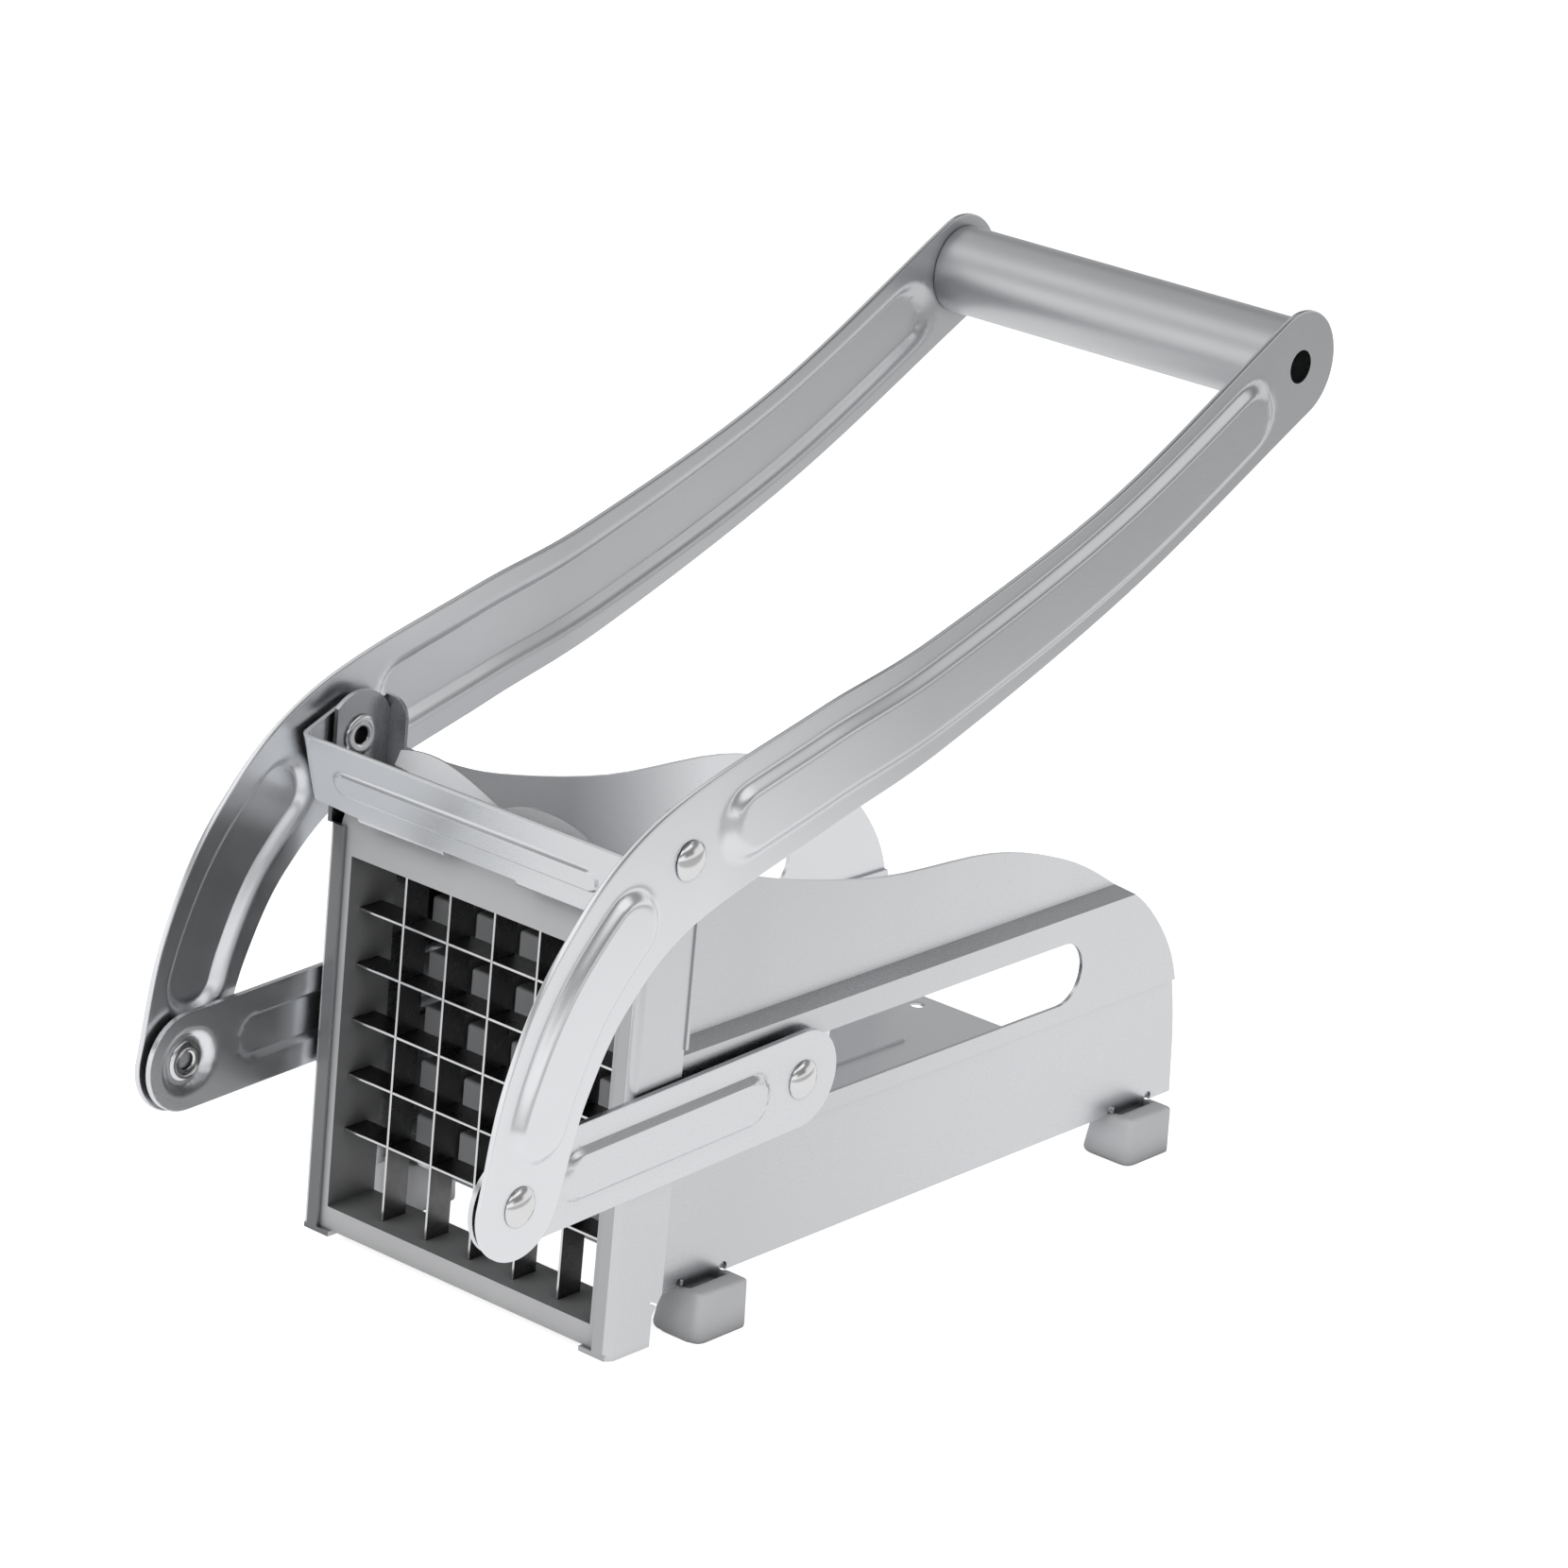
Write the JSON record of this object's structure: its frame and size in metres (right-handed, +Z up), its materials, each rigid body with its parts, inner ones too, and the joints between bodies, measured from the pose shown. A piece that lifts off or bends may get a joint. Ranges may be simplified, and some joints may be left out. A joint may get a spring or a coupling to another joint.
{
  "type": "french fry cutter",
  "caption": "Lever-operated french fry cutter in stainless sheet, with a blade grid, a studded pusher in a chute, a hand lever, two links, a latch and rubber feet.",
  "frame": {"origin": "on the table, below the middle of the cutter's length and width", "axes": "+X to the right as seen from the blades' side, +Y from the blades back to the grip, +Z up"},
  "size_m": [0.0914, 0.2412, 0.1797],
  "materials": {
    "satin_steel": "satin",
    "polished_steel": "polished",
    "blade_steel": "ground",
    "holder_plastic": "moulded",
    "pusher_plastic": "moulded",
    "bush_plastic": "moulded",
    "foot_rubber": "matt"
  },
  "bodies": {
    "frame": {"base_tray": "satin_steel", "left_side_panel": "satin_steel", "right_side_panel": "satin_steel", "left_front_post": "satin_steel", "right_front_post": "satin_steel", "throat_web": "satin_steel", "blade_holder": "holder_plastic", "upright_blade_1": "blade_steel", "upright_blade_2": "blade_steel", "upright_blade_3": "blade_steel", "upright_blade_4": "blade_steel", "upright_blade_5": "blade_steel", "level_blade_1": "blade_steel", "level_blade_2": "blade_steel", "level_blade_3": "blade_steel", "level_blade_4": "blade_steel", "level_blade_5": "blade_steel", "front_left_foot": "foot_rubber", "front_right_foot": "foot_rubber", "rear_left_foot": "foot_rubber", "rear_right_foot": "foot_rubber", "left_hinge_rivet": "polished_steel", "right_hinge_rivet": "polished_steel", "left_hinge_washer": "polished_steel", "right_hinge_washer": "polished_steel"},
    "latch": {"latch_bar": "satin_steel"},
    "lever": {"left_lever_arm": "satin_steel", "right_lever_arm": "satin_steel", "grip_tube": "satin_steel", "left_crank_rivet": "polished_steel", "right_crank_rivet": "polished_steel"},
    "links": {"left_link": "satin_steel", "right_link": "satin_steel", "left_link_rivet": "polished_steel", "right_link_rivet": "polished_steel"},
    "pusher": {"pusher_block": "pusher_plastic", "pusher_carriage": "satin_steel", "carriage_axle": "polished_steel", "left_guide_bush": "bush_plastic", "right_guide_bush": "bush_plastic", "pusher_screws": "polished_steel"}
  },
  "joints": [
    {"name": "lever_hinge", "type": "hinge", "parent": "frame", "child": "lever", "pos_m": [0, -0.0702, 0.1018], "axis": [1, 0, 0], "range_deg": [-18, 74]},
    {"name": "link_hinge", "type": "hinge", "parent": "lever", "child": "links", "pos_m": [0, -0.1099, 0.0438], "axis": [1, 0, 0], "range_deg": [-72, 18]},
    {"name": "pusher_slide", "type": "slide", "parent": "frame", "child": "pusher", "axis": [0, 1, 0], "range_m": [-0.0207, 0.0845]},
    {"name": "latch_hinge", "type": "hinge", "parent": "frame", "child": "latch", "pos_m": [0, -0.0702, 0.1018], "axis": [1, 0, 0], "range_deg": [-90, 0]}
  ],
  "couplings": [
    {"joint": "link_hinge", "follows": "lever_hinge", "ratio": -0.95},
    {"joint": "pusher_slide", "follows": "lever_hinge", "m_per_rad": 0.0653}
  ]
}
